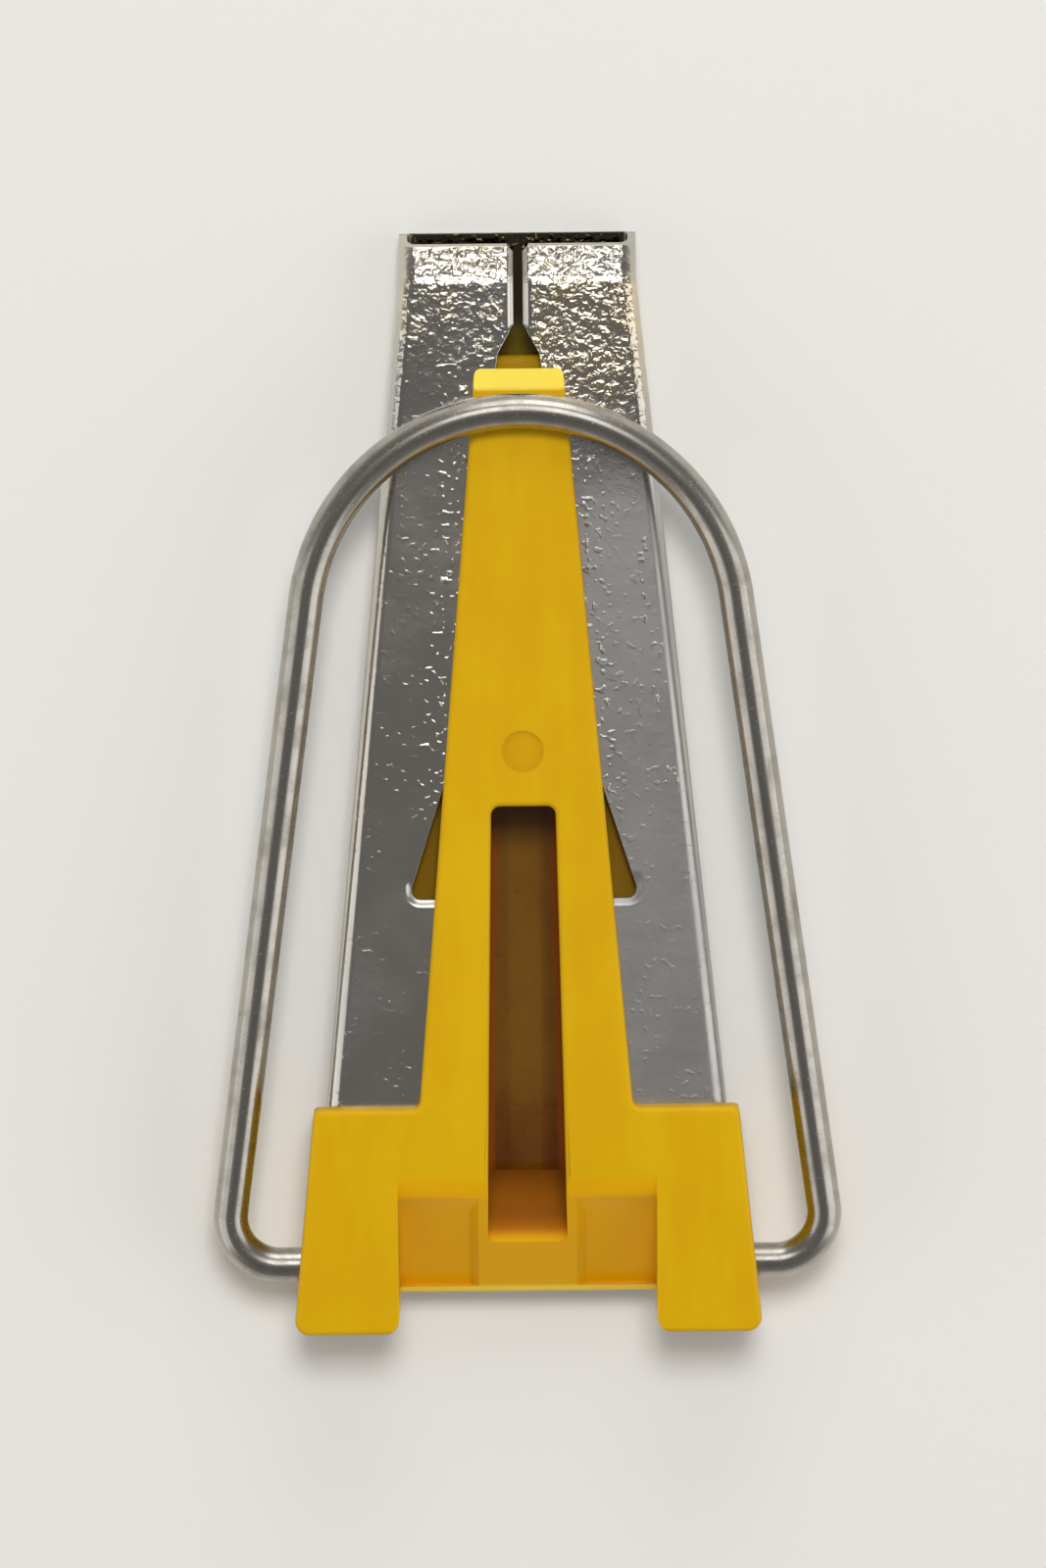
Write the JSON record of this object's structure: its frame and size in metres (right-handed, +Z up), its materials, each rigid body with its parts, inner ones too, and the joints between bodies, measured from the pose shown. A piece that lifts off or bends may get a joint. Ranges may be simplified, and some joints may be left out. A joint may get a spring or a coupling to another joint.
{
  "type": "bias tape maker",
  "caption": "Tapered steel channel with a moulded guide that folds a pulled cloth strip into 12 mm tape, with a swinging wire handle.",
  "frame": {"origin": "middle of the tool's outline in plan, at the underside of its base", "axes": "+Y from the wide mouth to the narrow tip, +Z up out of the top face with the tongue, +X to the right; the tool is symmetric across X"},
  "size_m": [0.0346, 0.06, 0.0075],
  "materials": {
    "nickel_plate": "bright nickel plate on folded sheet steel, finely scuffed",
    "yellow_plastic": "semi-gloss moulded plastic, slightly translucent",
    "nickel_wire": "bright nickel plate on drawn wire"
  },
  "bodies": {
    "folder": {"steel_body": "nickel_plate", "plastic_guide": "yellow_plastic"},
    "handle": {"wire_handle": "nickel_wire"}
  },
  "joints": [
    {"name": "handle_swing", "type": "hinge", "parent": "folder", "child": "handle", "pos_m": [0, -0.0265, 0.00491], "axis": [1, 0, 0], "range_deg": [0, 180]}
  ]
}
